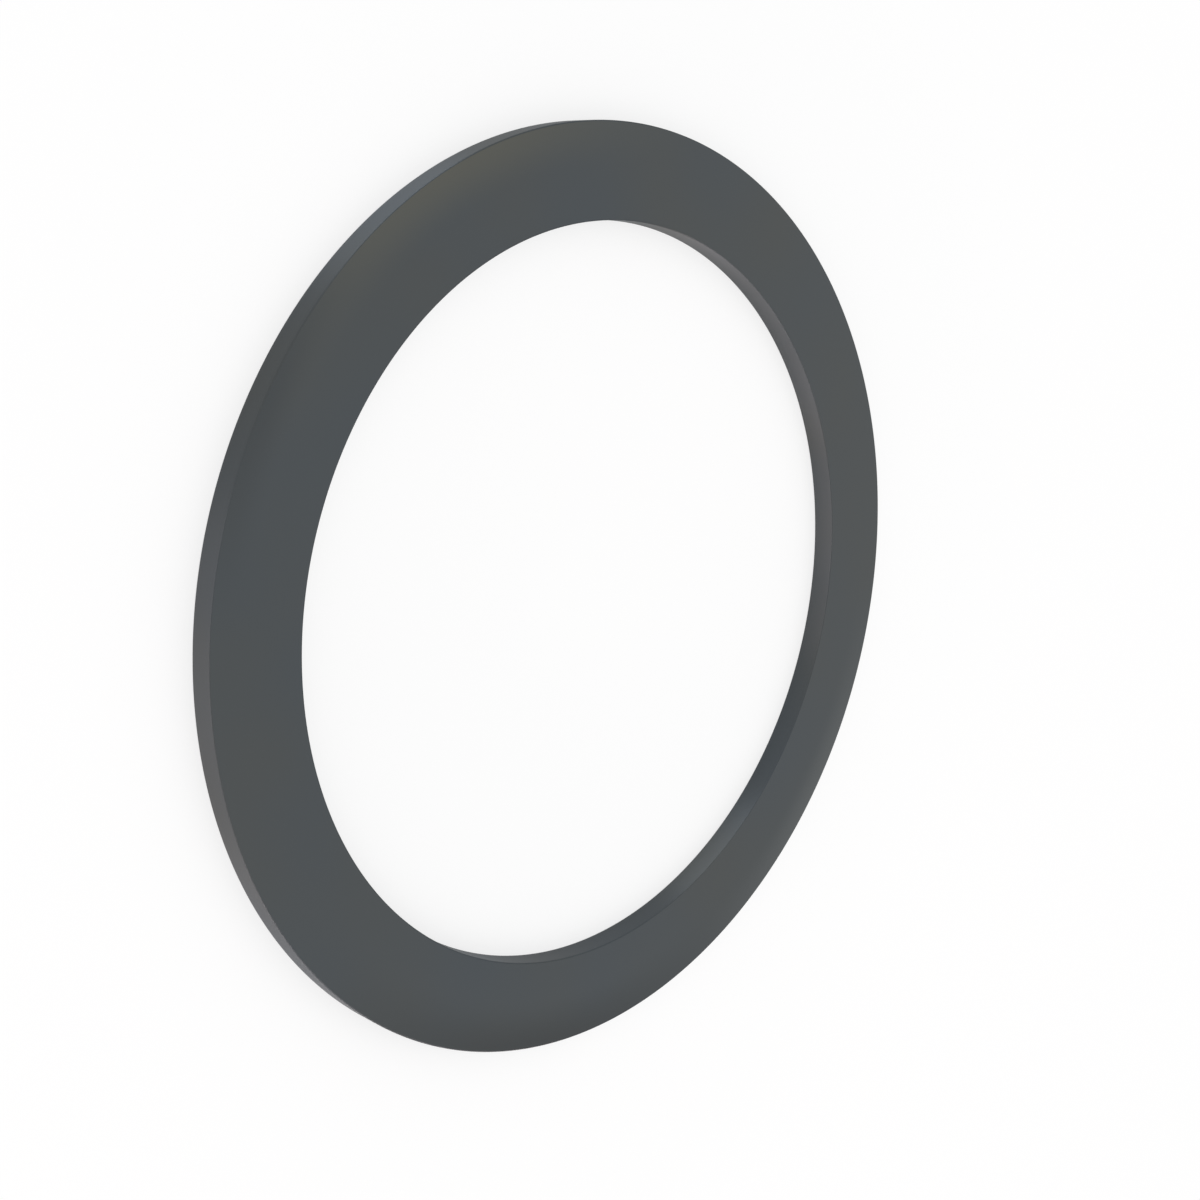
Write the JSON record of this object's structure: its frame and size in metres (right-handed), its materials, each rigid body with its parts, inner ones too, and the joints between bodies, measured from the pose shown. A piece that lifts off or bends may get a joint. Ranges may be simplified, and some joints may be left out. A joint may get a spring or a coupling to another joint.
{
  "type": "thrust washer",
  "caption": "Flat round thrust washer in blackened steel, a thin ring that goes round a shaft and takes its end load on two ground faces.",
  "frame": {"origin": "on the bore's axis, in the face that the ring lies on", "axes": "+Z along the bore's axis, up out of the top face; the ring is the same all round, so +X and +Y are free"},
  "size_m": [0.0749, 0.0748, 0.002],
  "materials": {
    "blackened_steel": "satin"
  },
  "bodies": {
    "root": {"thrust_washer": "blackened_steel"}
  },
  "joints": []
}
